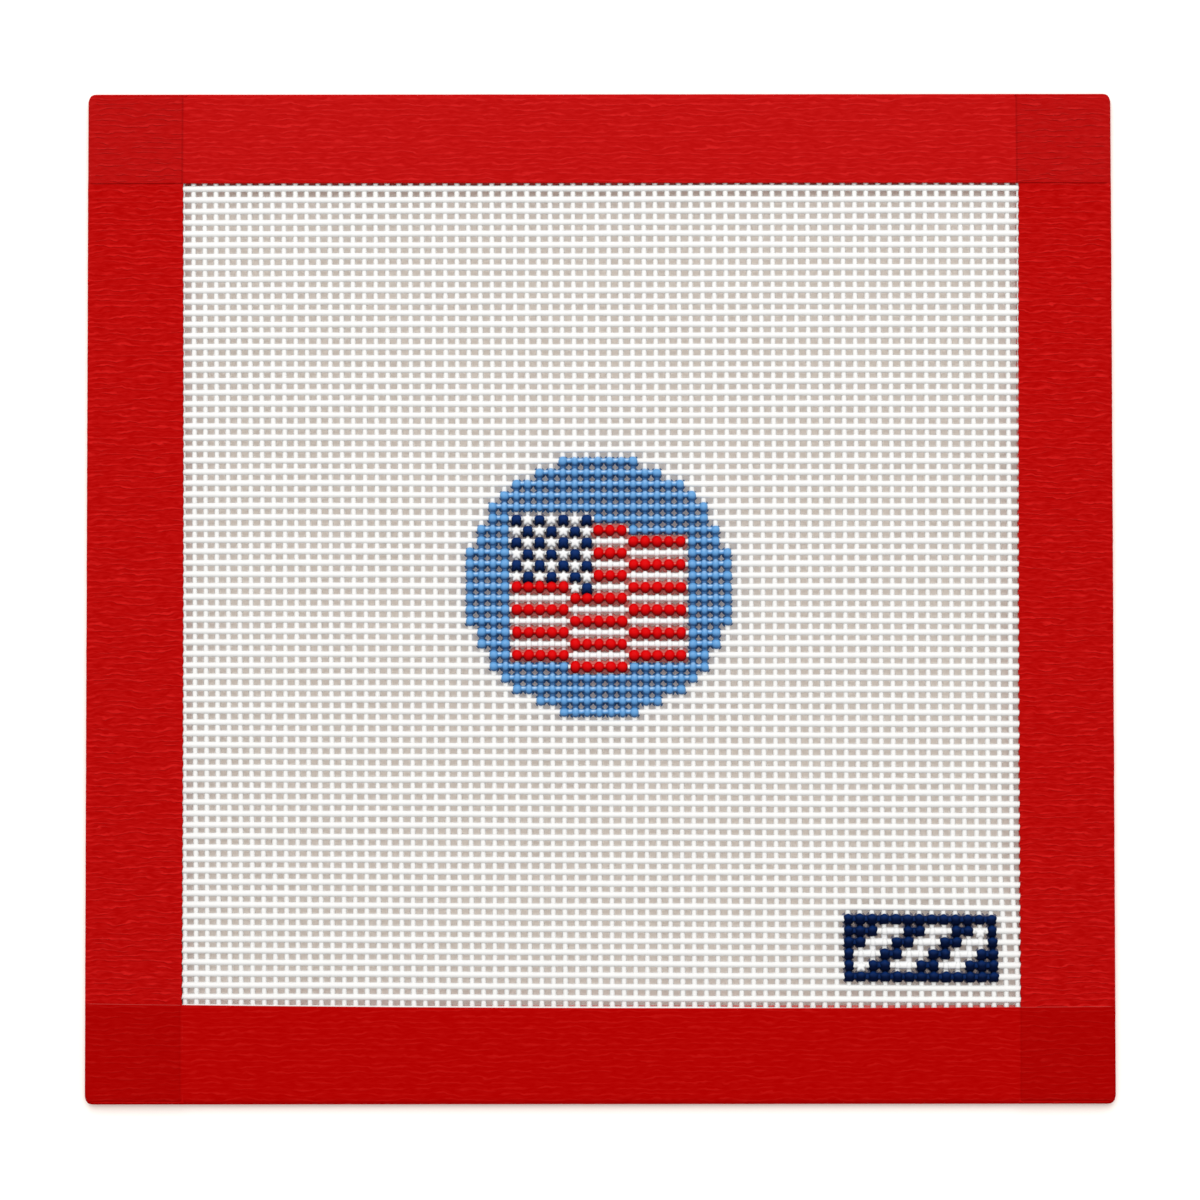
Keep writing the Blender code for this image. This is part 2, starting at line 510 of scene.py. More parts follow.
def add_threads(band, axis, path, threads, along, thickness_at, ends=(1, 1)):
    """Adds tubes on these paths, which reach the cut edge at those ends that have a 1."""
    start, end = run_to_cut(path, axis)
    path = np.concatenate([start[:, : ends[0]], path, end[:, : ends[1]]], axis=1)
    beyond = ([along[0] - 0.5] * ends[0], [along[-1] + 0.5] * ends[1])
    press = np.concatenate([beyond[0], along, beyond[1]])
    points = tube_points(path, *thickness_at(threads, press))
    band.add(points, tube_faces(*points.shape[:2]))


def canvas_band(first, last):
    """The level threads first to last, and the stretch of the upright ones that crosses them."""
    band = Shape()
    rows = np.arange(first, last + 1)
    across = steps_between(UNDER_LEFT, UNDER_RIGHT, COLUMNS, LEVEL_STEPS)
    add_threads(band, 0, level(rows, across), rows, across, level_thickness)

    columns = np.arange(UNDER_LEFT, UNDER_RIGHT + 1)
    low = first if first == UNDER_TOP else first - 1  # the bands' joints hide under level threads
    down = steps_between(low, last, ROWS, UPRIGHT_STEPS)
    ends = (int(low == UNDER_TOP), int(last == UNDER_BOTTOM))
    add_threads(band, 1, upright(columns, down), columns, down, upright_thickness, ends)
    return band


# %% [markdown]
# ## The thread's finish
# Cotton thread stiffened with size is off-white and nearly matt. Up close it has fine fibres along
# its length and slight unevenness in its white. The fibres are far too small for geometry, so they
# are a bump, and the white varies with slow noise.

# %% Canvas white
FIBRE_DEPTH = 0.015 * MILLIMETRE
canvas_white, where = start_material("canvas_white", Specular_IOR_Level=0.2)
patches = where.grain(0.35)
fibres = where.grain(9.0, detail=3.0, roughness=0.7)
shade = patches * 0.6 + fibres * 0.4
feed(
    canvas_white,
    Base_Color=shade.tint((0.75, 0.745, 0.730, 1.0), (0.83, 0.825, 0.81, 1.0)),
    Roughness=0.75 + 0.15 * fibres,
    Normal=bump(fibres, FIBRE_DEPTH),
)

canvas_pieces = []
for band_name, (first, last) in BANDS.items():
    canvas_pieces.append(canvas_band(first, last).build("canvas_" + band_name, canvas_white))

# %% [markdown]
# ## The painted design
# The design is worked out on the canvas's own grid, one crossing for one stitch, as a designer
# charts it. A round ground holds a flag whose stripes step down in blocks, as if it waved, and a
# small bordered block of diagonals lies at the lower right. Each rule answers for one crossing, so
# the chart needs no picture and no table of colours.

# %% The chart
WAVE_COLUMNS = 5  # the flag steps down one row after so many columns
STRIPES = (13, 13, 11)  # in each of the three blocks, of which the last rises again at its foot
CANTON_COLUMNS, CANTON_STRIPES = 7, 6
BLOCK_LEFT, BLOCK_TOP, BLOCK_COLUMNS, BLOCK_ROWS = 57, 64, 13, 6
DIAGONAL_REPEAT, DIAGONAL_WHITE = 4, 2


def flag_paint(column, row):
    """The flag's paint at a crossing counted from its upper left, or the ground's outside it."""
    if not 0 <= column < FLAG_COLUMNS:
        return "blue"
    block = column // WAVE_COLUMNS
    stripe = row - block
    if column < CANTON_COLUMNS and 0 <= row and stripe < CANTON_STRIPES:
        return "navy" if (column + row) % 2 == 0 else "white"
    if not 0 <= stripe < STRIPES[block]:
        return "blue"
    return "red" if stripe % 2 == 0 else "white"


def block_paint(column, row):
    """The block's paint at a crossing counted from its upper left: a border round diagonals."""
    if column in (0, BLOCK_COLUMNS - 1) or row in (0, BLOCK_ROWS - 1):
        return "navy"
    return "white" if (column + row) % DIAGONAL_REPEAT < DIAGONAL_WHITE else "navy"


def paint_at(column, row):
    """The paint on a crossing, or None where the canvas is left white."""
    if (column - DISC_COLUMN) ** 2 + (row - DISC_ROW) ** 2 <= DISC_RADIUS**2:
        return flag_paint(column - FLAG_LEFT, row - FLAG_TOP)
    if 0 <= column - BLOCK_LEFT < BLOCK_COLUMNS and 0 <= row - BLOCK_TOP < BLOCK_ROWS:
        return block_paint(column - BLOCK_LEFT, row - BLOCK_TOP)
    return None


chart = {(c, r): paint_at(c, r) for c in range(COLUMNS) for r in range(ROWS)}
PAINT_NAMES = ("blue", "red", "navy", "white")
painted = {paint: [spot for spot in chart if chart[spot] == paint] for paint in PAINT_NAMES}
print("painted crossings:", {paint: len(spots) for paint, spots in painted.items()})

# %% [markdown]
# ## Paint that stands on the threads
# Thick acrylic paint is dabbed on each crossing with a fine brush. It rounds the crossing off into a
# bead, which covers the threads and fills the corners between them, and it thins out along the
# threads between two beads. A bead is a closed dome. Its outline differs with the paint, from an egg
# to a star. The thin coat between beads is a sleeve round the thread, and a low web rounds off the
# corners of the holes.

# %% Beads
BEAD_SIDES = 20
# Rings of a bead from the bottom up: share of its reach, and share of its depth or height
BEAD_RINGS = ((0.55, -0.92), (0.97, -0.62), (1.0, 0.0), (0.96, 0.50), (0.82, 0.80), (0.50, 0.965))
BEAD_TOP, BEAD_BOTTOM = 0.74 * MILLIMETRE, 0.50 * MILLIMETRE
BEAD_UNEVEN, BEAD_DENT = 0.06, 0.036  # as shares of its size
# How far each kind reaches, in millimetres, at equal turns from the top of the panel to its foot
BEAD_OUTLINES = {
    "blue": (0.60, 0.59, 0.54, 0.49, 0.47, 0.46, 0.48, 0.52, 0.56, 0.60, 0.61),
    "blue edge": (0.58, 0.60, 0.60, 0.59, 0.58, 0.58, 0.58, 0.59, 0.60, 0.61, 0.61),
    "red": (0.75, 0.74, 0.71, 0.69, 0.68, 0.67, 0.67, 0.69, 0.73, 0.77, 0.78),
    "navy": (0.66, 0.67, 0.69, 0.71, 0.72, 0.65, 0.59, 0.86, 0.96, 0.72, 0.58),
    "block": (0.70, 0.68, 0.64, 0.74, 0.74, 0.64, 0.62, 0.78, 0.80, 0.68, 0.66),
    "star": (0.64, 0.54, 0.47, 0.60, 0.84, 0.66, 0.50, 0.66, 0.84, 0.62, 0.48),
    "line": (0.48, 0.47, 0.44, 0.43, 0.45, 0.45, 0.43, 0.46, 0.50, 0.48, 0.45),
}
# How many millimetres each kind hangs below its crossing, as the canvas stood upright to dry
BEAD_HANG = {
    "blue": 0.03,
    "blue edge": 0.03,
    "red": 0.055,
    "navy": 0.20,
    "star": 0.12,
    "line": -0.03,
}
# How thick its coat is, and how much that mark drops over the dome and towards the panel's top,
# where the lamp is: a painted highlight
BEAD_COAT, DOME_HIGHLIGHT, LAMP_SIDE_HIGHLIGHT = 0.86, 0.30, 0.40
FOOT_COAT, TOP_COAT = 0.5, 0.54  # on its lowest ring and point, and on its highest point
MORE_COAT = {"block": 0.3, "navy": 0.1}
LEAST_COAT, LEAST_BLUE = 0.5, 0.24


def bead_outline(kind, angle):
    """How far a bead of this kind reaches at each angle from the X axis, as x and y in metres."""
    turn = np.arccos(np.clip(np.sin(angle), -1, 1))
    reaches = BEAD_OUTLINES[kind]
    turns = np.linspace(0, math.pi, len(reaches))
    reach = np.interp(turn, turns, reaches) * MILLIMETRE
    return reach * np.cos(angle), reach * np.sin(angle)


def bead_points(x, y, kind):
    """The points of one bead: its rings from the bottom up, then its lowest and highest point."""
    angle = np.arange(BEAD_SIDES) * 2 * math.pi / BEAD_SIDES
    out_x, out_y = bead_outline(kind, angle)
    grow_x, grow_y, grow_up = 1 + BEAD_UNEVEN * random.uniform(-1, 1, 3)
    dent = 1 + BEAD_DENT * np.sin(2 * angle + random.uniform(0, 2 * math.pi))
    reach, rise = np.array(BEAD_RINGS).T[:, :, None]
    rise = np.where(rise > 0, BEAD_TOP * grow_up, BEAD_BOTTOM) * rise
    middle = middle_height(x, y)
    ring_x = x + reach * out_x * dent * grow_x
    ring_y = y + reach * out_y * dent * grow_y
    rings = np.stack([ring_x, ring_y, middle + rise + 0 * angle], axis=-1)
    poles = [(x, y, middle - BEAD_BOTTOM), (x, y, middle + BEAD_TOP * grow_up)]
    return np.concatenate([rings.reshape(-1, 3), poles])


def bead_coat_and_shade(kind):
    """How thick the paint is at each point of a bead, in the same order, with painted light and
    shade: paler over the dome and on the side towards the lamp, and deeper at the foot and lower
    side.
    """
    up_panel = np.sin(np.arange(BEAD_SIDES) * 2 * math.pi / BEAD_SIDES)
    reach, rise = np.array(BEAD_RINGS).T[:, :, None]
    coat_and_shade = BEAD_COAT - DOME_HIGHLIGHT * np.maximum(rise, 0) - LAMP_SIDE_HIGHLIGHT * reach * up_panel
    coat_and_shade[0] = FOOT_COAT
    coat_and_shade = np.append(coat_and_shade.ravel(), [FOOT_COAT, TOP_COAT]) + MORE_COAT.get(kind, 0.0)
    return np.clip(coat_and_shade, LEAST_BLUE if kind == "blue" else LEAST_COAT, 1.0)


def ring_faces(rings, sides):
    """Faces of a closed shape that is rings of points from the bottom up, and then its two poles."""
    number = np.arange(rings * sides).reshape(rings, sides)
    after = np.roll(number, -1, axis=1)
    walls = np.stack([number[:-1], after[:-1], after[1:], number[1:]], axis=-1).reshape(-1, 4)
    lowest, highest = number.size, number.size + 1
    under = [(after[0, i], number[0, i], lowest) for i in range(sides)]
    over = [(number[-1, i], after[-1, i], highest) for i in range(sides)]
    return walls.tolist() + under + over


# %% Sleeves between beads
PAINT_COAT, WHITE_COAT = 0.030 * MILLIMETRE, 0.085 * MILLIMETRE  # white is laid on more thickly
SLEEVE_STEPS = 4
NAVY_COAT = 0.65  # which covers a thread's top as well
# How thick the coat is round a thread, from its lower side over its top: beside a bead, and halfway.
# The lower side is painted deep, as shade. The top towards the lamp is pale, from thin paint and a
# painted highlight, most of all halfway.
LEVEL_COAT_AND_SHADE = np.array([(1.0, 0.85, 0.60, 0.75, 0.3, 0.3), (1.0, 0.70, 0.05, 0.45, 0.3, 0.3)])
# The upright sleeves are painted deep over their tops, as the shade between beads.
UPRIGHT_COAT_AND_SHADE = np.tile((0.95, 0.88, 0.88, 0.95, 0.3, 0.3), SLEEVE_STEPS + 1)


def sleeve(shape, path, half_sizes, coat_and_shade, paint):
    """A thin layer of paint on a stretch of thread."""
    wide, tall = half_sizes
    more = WHITE_COAT if paint == "white" else PAINT_COAT
    points = tube_points(path, wide + more, tall + more)
    shape.add(points, tube_faces(1, SLEEVE_STEPS + 1), mark=coat_and_shade)


def level_coat_and_shade(paint):
    """The paint's thickness on each point of a level sleeve, with its painted light and shade."""
    halfway = np.sin(np.arange(SLEEVE_STEPS + 1) * math.pi / SLEEVE_STEPS)[:, None] ** 2
    coat_and_shade = (LEVEL_COAT_AND_SHADE[0] * (1 - halfway) + LEVEL_COAT_AND_SHADE[1] * halfway).ravel()
    return np.maximum(coat_and_shade, NAVY_COAT) if paint == "navy" else coat_and_shade


def bead_kind(paint, column, row):
    """Which outline a bead of this paint has at this crossing."""
    beside = {chart[column - 1, row], chart[column + 1, row]}
    if paint == "blue":
        return "blue" if beside == {"blue"} else "blue edge"
    if paint == "white":
        return "line" if "white" in beside else "star"
    return "block" if paint == "navy" and row >= BLOCK_TOP else paint


# %% Webs in the corners of crossings
WEB_SIDES = 16
# Rings of a web from the bottom up: share of its reach, millimetres over the canvas's middle, and
# how thick its coat is
WEB_RINGS = ((0.60, -0.44, 0.35), (1.0, -0.40, 0.5), (0.97, -0.34, 1.0), (0.55, -0.12, 1.0))
# How far each paint's web reaches, in millimetres, and the share of that coat that it has
WEBS = {"blue": (0.76, 1.0), "red": (1.04, 0.0), "navy": (0.87, 0.0)}
WEB_UNEVEN, WEB_STRAY = 0.06, 0.03  # as a share of its reach, and up or down in millimetres


def web(shape, x, y, paint):
    """A thin skirt of paint round a crossing, low between the threads."""
    reach, coat_share = WEBS[paint]
    angle = np.arange(WEB_SIDES) * 2 * math.pi / WEB_SIDES
    share, rise, coat_and_shade = np.array(WEB_RINGS).T[:, :, None]
    uneven = 1 + WEB_UNEVEN * np.sin(3 * angle + random.uniform(0, 2 * math.pi))
    out = share * reach * uneven * MILLIMETRE
    rise = rise + WEB_STRAY * random.uniform(-1, 1)
    z = middle_height(x, y) + rise * MILLIMETRE + 0 * angle
    rings = np.stack([x + out * np.cos(angle), y + out * np.sin(angle), z], axis=-1)
    poles = [(x, y, z[0, 0]), (x, y, z[-1, 0])]
    points = np.concatenate([rings.reshape(-1, 3), poles])
    marks = coat_share * np.append((coat_and_shade + 0 * angle).ravel(), [coat_and_shade[0, 0], coat_and_shade[-1, 0]])
    shape.add(points, ring_faces(len(WEB_RINGS), WEB_SIDES), mark=marks)


def paint_shape(paint):
    """All the beads of one paint, and its sleeves. The mark is how thick the paint is, with painted
    light and shade.
    """
    shape = Shape()
    faces = ring_faces(len(BEAD_RINGS), BEAD_SIDES)
    along = np.arange(SLEEVE_STEPS + 1) / SLEEVE_STEPS
    for column, row in painted[paint]:
        kind = bead_kind(paint, column, row)
        x, y = crossing(float(column), float(row))
        x = x + wander("column", column, row)
        y = y + wander("row", row, column) - BEAD_HANG.get(kind, 0.0) * MILLIMETRE
        shape.add(bead_points(x, y, kind), faces, mark=bead_coat_and_shade(kind))
        if paint in WEBS:
            web(shape, x, y, paint)
        if chart[column + 1, row] == paint:
            across = along + column
            sizes = level_thickness([row], across)
            sleeve(shape, level([row], across), sizes, level_coat_and_shade(paint), paint)
        if chart[column, row + 1] == paint:
            down = along + row
            sizes = upright_thickness([column], down)
            sleeve(shape, upright([column], down), sizes, UPRIGHT_COAT_AND_SHADE, paint)
    return shape


# %% [markdown]
# ## The paint's finish
# Acrylic paint dries to a soft gloss, so each bead catches a small light near its top. Each bead is
# also painted paler over its dome and on its side towards the lamp, and deeper at its foot and lower
# side: painted light and shade. The sleeves are palest on top, where the paint is thin over the
# white thread and a painted highlight adds to it, and the upright ones are painted deep, as shade.
# Each point of the mesh carries the thickness of its coat together with this painted light and
# shade, and fine brush marks vary it.


# %% Paints
STROKE_COAT, STROKE_DEPTH = 0.16, 0.03 * MILLIMETRE


def acrylic(name, pale, body, deep, gloss):
    """Paint that is pale where it is thin and where highlights are painted, and deep where it is
    thick and where shade is painted.
    """
    material, where = start_material(name, Specular_IOR_Level=gloss)
    # This mark is the paint's thickness together with painted light and shade.
    coat_and_shade = where.node("ShaderNodeAttribute", out=2, attribute_name="coat_and_shade")
    strokes = where.grain(3.5, detail=3.0, roughness=0.6)
    coat_and_shade = coat_and_shade + (strokes - 0.5) * STROKE_COAT
    thick = {"Factor": coat_and_shade.step(0.45, 1.0), 6: coat_and_shade.step(0.0, 0.5).tint(pale, body), 7: deep}
    colour = where.node("ShaderNodeMix", thick, out=2, data_type="RGBA")
    normal = bump(strokes, STROKE_DEPTH)
    return feed(material, Base_Color=colour, Roughness=0.28 + 0.25 * strokes, Normal=normal)


# Each paint's colour where its coat is thin and highlights are painted, middling, and thick and
# shade is painted, and its gloss
PAINTS = {
    "blue": ((0.46, 0.62, 0.80, 1), (0.105, 0.31, 0.61, 1), (0.022, 0.105, 0.27, 1), 0.35),
    "red": ((0.62, 0.17, 0.15, 1), (0.62, 0.001, 0.002, 1), (0.18, 0.0003, 0.0005, 1), 0.03),
    "navy": ((0.16, 0.16, 0.23, 1), (0.004, 0.024, 0.120, 1), (0.0004, 0.003, 0.020, 1), 0.03),
    "white": ((0.78, 0.78, 0.775, 1), (0.80, 0.80, 0.795, 1), (0.74, 0.735, 0.74, 1), 0.20),
}
paint_pieces = []
for paint, recipe in PAINTS.items():
    material = acrylic("paint_" + paint, *recipe)
    paint_pieces.append(paint_shape(paint).build("paint_" + paint, material, "coat_and_shade"))

# %% [markdown]
# ## The tape
# Each strip is a 25 mm crepe paper tape folded over the canvas's edge. The side strips go on
# first, and the top and bottom strips over their ends. A strip is a sheet of paper with real
# thickness: a fine grid follows its section across and its length along, and the grid is doubled
# inwards and closed round its rim. The larger wrinkles of the crepe move the grid's points, and
# the finest ones are left to a bump.

# %% The strips' measures, from the solids
# How far each strip reaches in on the face, in millimetres: at its middle, how much more at its
# right or upper end than there, and how much more at both ends
FACE_REACH = {
    "left": (12.095, -0.076, -0.166),
    "right": (11.815, -0.120, -0.189),
    "top": (11.24, 0.0, 0.0),
    "bottom": (11.88, -0.213, 0.355),
}
BACK_REACH = {"left": 12.15, "right": 11.84, "top": 11.6, "bottom": 12.1}
EDGE_FADE = 0.8 * MILLIMETRE  # the part of a strip that follows its bowed inner edge
CUT_SLANT = 0.07 * MILLIMETRE  # of the tape's cut edge on the face
FOLD_STEPS = 8
HALF_WIDTH, HALF_HEIGHT = PANEL_WIDTH / 2, PANEL_HEIGHT / 2
# How often the crepe's wrinkles bend, lie and swell, for each millimetre across and up the panel
BENDS, WRINKLES, SWELLS = (0.22, 0.30), (0.18, 1.6), (0.12, 0.22)


def section(reach, back, radius, face_step, back_step):
    """How far inside the panel's edge each point across the tape lies, and how far it is folded."""
    face = np.linspace(reach, radius, max(2, round((reach - radius) / face_step)) + 1)
    turn = np.linspace(0, math.pi, FOLD_STEPS + 1)[1:-1]
    under = np.linspace(radius, back, max(2, round((back - radius) / back_step)) + 1)
    inside = np.concatenate([face, np.full(len(turn), radius), under])
    angle = np.concatenate([np.zeros(len(face)), turn, np.full(len(under), math.pi)])
    return inside, angle


def edge_bow(bow, along):
    """How much further a strip reaches in at each share of its half length."""
    more_at_end, more_at_both = bow
    return (more_at_end * along + more_at_both * along**2) * MILLIMETRE


def near_inner_edge(inside, angle, reach):
    """1 at a strip's inner edge on the face, and 0 further out and on the back."""
    return smooth((inside - reach + EDGE_FADE) / EDGE_FADE) * (angle == 0)


def corner_cut(along, half_length, radius):
    """How far a round corner draws the edge in, for each place along it."""
    into_corner = np.maximum(np.abs(along) - (half_length - radius), 0)
    return radius - np.sqrt(radius**2 - into_corner**2)


def wrinkle_noise(across, up, often, layer):
    return noise.noise((across * often[0], up * often[1], layer))


def wrinkles(x, y, strength):
    """The height of the crepe's larger wrinkles, which run across the panel."""
    height = np.empty(x.shape)
    for spot in np.ndindex(x.shape):
        across, up = x[spot] / MILLIMETRE, y[spot] / MILLIMETRE
        bend = 0.5 * wrinkle_noise(across, up, BENDS, layer=5.0)
        fine = wrinkle_noise(across, up + bend, WRINKLES, layer=1.0)
        swell = wrinkle_noise(across, up, SWELLS, layer=9.0)
        height[spot] = fine * (0.7 + 0.6 * swell) + 0.5 * swell
    return height * strength


def sheet_faces(rows, columns):
    """Faces of a closed sheet: its outer grid, its inner grid and the rim between them."""
    number = np.arange(rows * columns).reshape(rows, columns)
    inner = number + number.size
    walls = [(number[:-1, :-1], number[1:, :-1], number[1:, 1:], number[:-1, 1:])]
    walls += [(inner[:-1, :-1], inner[:-1, 1:], inner[1:, 1:], inner[1:, :-1])]
    rim = np.concatenate([number[0, :-1], number[:-1, -1], number[-1, :0:-1], number[:0:-1, 0]])
    rim_after = np.roll(rim, -1)
    walls += [(rim, rim_after, rim_after + number.size, rim + number.size)]
    return np.concatenate([np.stack(wall, -1).reshape(-1, 4) for wall in walls]).tolist()


def paper_sheet(outer, outwards, axis, side, flip, cut_highlight=0.0):
    """A closed sheet under this grid of points. axis and side say which way it is from the middle.

    The mark is 0 on its dyed outer side and 1 on the glued inner one, and the given share on the
    edge that shows in the window, where some of the glued side's pale colour is painted on as a
    highlight.
    """
    inner = outer - PAPER * outwards
    outer[:, 0, axis] += side * CUT_SLANT
    size = outer.shape[:2]
    glue_side_and_highlight = np.ones(size)
    glue_side_and_highlight[0] = glue_side_and_highlight[-1] = 0.0
    # The cut edge takes some of the pale colour, painted on as a highlight.
    glue_side_and_highlight[:, 0] = cut_highlight
    faces = sheet_faces(*size)
    if flip:
        faces = [face[::-1] for face in faces]
    shape = Shape()
    points = np.concatenate([outer.reshape(-1, 3), inner.reshape(-1, 3)])
    shape.add(points, faces, mark=np.concatenate([np.zeros(glue_side_and_highlight.size), glue_side_and_highlight.ravel()]))
    return shape


# %% A side strip
STRIP_AIR = 0.03 * MILLIMETRE
CORNER_RADIUS = 0.95 * MILLIMETRE  # of the panel, seen from above
LAP = 11.0 * MILLIMETRE  # how much of each end lies closer in, under the strip that covers it
SCALLOP = 0.05 * MILLIMETRE
SIDE_STEPS = (0.70 * MILLIMETRE, 0.95 * MILLIMETRE)  # across the tape, on the face and the back
SIDE_STEP = 0.20 * MILLIMETRE  # along it


def side_strip(name, side, strength):
    """The left strip with side -1, or the right one with side 1."""
    middle, *bow = FACE_REACH[name]
    reach = middle * MILLIMETRE
    radius = HALF_CANVAS + PAPER
    inside, angle = section(reach, BACK_REACH[name] * MILLIMETRE, radius, *SIDE_STEPS)
    length = 2 * (HALF_HEIGHT - PAPER - 2 * STRIP_AIR)
    along = np.linspace(-length / 2, length / 2, round(length / SIDE_STEP) + 1)
    y, inside = np.meshgrid(along, inside, indexing="ij")
    angle = np.broadcast_to(angle, y.shape)
    covered = smooth((np.abs(y) - (HALF_HEIGHT - LAP)) / MILLIMETRE)
    edge = HALF_WIDTH - covered * (PAPER + LAP_AIR)
    # The level threads lift the strip's inner edge a little, so that it is scalloped.
    row = (MIDDLE_Y - y) / ROW_PITCH + MIDDLE
    moved_in = edge_bow(bow, y / HALF_HEIGHT) - SCALLOP * np.cos(2 * math.pi * row)
    inside = inside + moved_in * near_inner_edge(inside, angle, reach)
    edge = edge - corner_cut(y, HALF_HEIGHT, CORNER_RADIUS)
    lift = wrinkles(side * (edge - inside), y, strength)
    flat_x = edge - np.maximum(inside, radius)
    out = radius + lift
    x = side * (flat_x + out * np.sin(angle))
    z = middle_height(x, y) + out * np.cos(angle)
    outwards = np.stack([side * np.sin(angle), np.zeros(y.shape), np.cos(angle)], axis=-1)
    return paper_sheet(np.stack([x, y, z], axis=-1), outwards, 0, side, flip=side < 0)


# %% A top or bottom strip
END_TURN = math.radians(72)  # how far its ends bend down over the side strips' folds
END_AIR = 0.1 * MILLIMETRE  # between that bend and the fold
END_STEPS = 4
END_RADIUS = 0.5 * MILLIMETRE  # of its end's corner, which the bend rounds further
END_FADE = 1.5 * MILLIMETRE  # how far in from the panel's edge that corner is seen
LONG_STEPS = (0.30 * MILLIMETRE, 0.60 * MILLIMETRE)  # across the tape, on the face and the back
LONG_STEP = 1.5 * MILLIMETRE  # along it
SEAMS = (-HALF_WIDTH + 11.9 * MILLIMETRE, HALF_WIDTH - 11.7 * MILLIMETRE)  # the side strips' edges
SEAM_FADE = 0.3 * MILLIMETRE  # within which it climbs onto a side strip
# The bottom strip's cut edge faces the lamp, so part of the pale colour is painted on it as a
# highlight.
CUT_HIGHLIGHTS = {"top": 0.0, "bottom": 0.4}  # how much of the gummed side's colour the cut edge has


def long_strip(name, side, strength):
    """The top strip with side 1, or the bottom one with side -1."""
    middle, *bow = FACE_REACH[name]
    reach = middle * MILLIMETRE
    bend_radius = HALF_CANVAS + 2 * PAPER + LAP_AIR + END_AIR
    back = BACK_REACH[name] * MILLIMETRE
    inside, angle = section(reach, back, HALF_CANVAS + PAPER, *LONG_STEPS)
    straight = HALF_WIDTH - bend_radius
    plain = np.linspace(-straight, straight, round(2 * straight / LONG_STEP) + 1)
    near = [seam + step * SEAM_FADE for seam in SEAMS for step in (-1, -0.5, 0, 0.5, 1)]
    plain = np.unique(np.concatenate([plain, near]))
    turn = np.linspace(0, END_TURN, END_STEPS + 1)[1:]
    ends = np.full(END_STEPS, straight)
    straight_x = np.concatenate([-ends, plain, ends])
    end_turn = np.concatenate([-turn[::-1], np.zeros(len(plain)), turn])
    base_x, inside = np.meshgrid(straight_x, inside, indexing="ij")
    bend = np.broadcast_to(end_turn[:, None], base_x.shape)
    angle = np.broadcast_to(angle, base_x.shape)
    past_left = smooth((base_x - SEAMS[0]) / SEAM_FADE + 0.5)
    past_right = smooth((SEAMS[1] - base_x) / SEAM_FADE + 0.5)
    over = 1 - past_left * past_right
    radius = HALF_CANVAS + PAPER + over * (PAPER + LAP_AIR)
    inside = inside + edge_bow(bow, base_x / HALF_WIDTH) * near_inner_edge(inside, angle, reach)
    lift = wrinkles(base_x, side * (HALF_HEIGHT - inside), strength)
    out = radius + lift
    x = base_x + bend_radius * np.sin(bend)
    edge = HALF_HEIGHT - corner_cut(x, HALF_WIDTH, END_RADIUS) * smooth(2 - inside / END_FADE)
    y = side * (edge - np.maximum(inside, radius) + out * np.sin(angle) * np.cos(bend))
    z = middle_height(x, y) + out * np.cos(angle) * np.cos(bend)
    parts = [np.sin(bend), side * np.sin(angle) * np.cos(bend), np.cos(angle) * np.cos(bend)]
    outwards = np.stack(parts, axis=-1)
    outer = np.stack([x, y, z], axis=-1)
    return paper_sheet(outer, outwards, 1, side, flip=side > 0, cut_highlight=CUT_HIGHLIGHTS[name])


# %% [markdown]
# ## The tape's finish
# Crepe paper is matt, and its dye is a strong red. Its fine wrinkles run across the panel on every
# strip. They are deepest on the side strips, shallower on the top one and faint on the bottom one,
# and deeper again at the corners, where two layers lie. Less of the white canvas glows through two
# layers, so the corners are a little darker. Beside them a thin painted shadow line lies where the
# strip beneath ends and the covering one steps up. The wrinkles' crests are painted lighter, as
# highlights. The top strip's red is painted a little lighter and the bottom strip's darker, as light
# that falls from the top. The tape's gummed side is paler, and it shows through the outermost holes;
# some of its colour is painted on the bottom strip's cut edge, as a highlight.


# %% Crepe paper
GUMMED_RED = (0.85, 0.17, 0.15, 1.0)  # the paler side with the glue, which shows through the holes
SEAM = 51.7  # millimetres from the middle to the side strips' edges below the top and bottom ones
CREPE_SPACING = 0.68  # millimetres between wrinkles
FACE_ENDS, FOLD_STARTS = 62.2, 63.0  # between these, the bump fades out before the side folds
# The darker corners and the painted shadow line beside them tend to this colour.
TWO_LAYERS_AND_SHADOW = (0.10, 0.0, 0.0, 1.0)  # what a darker place tends to


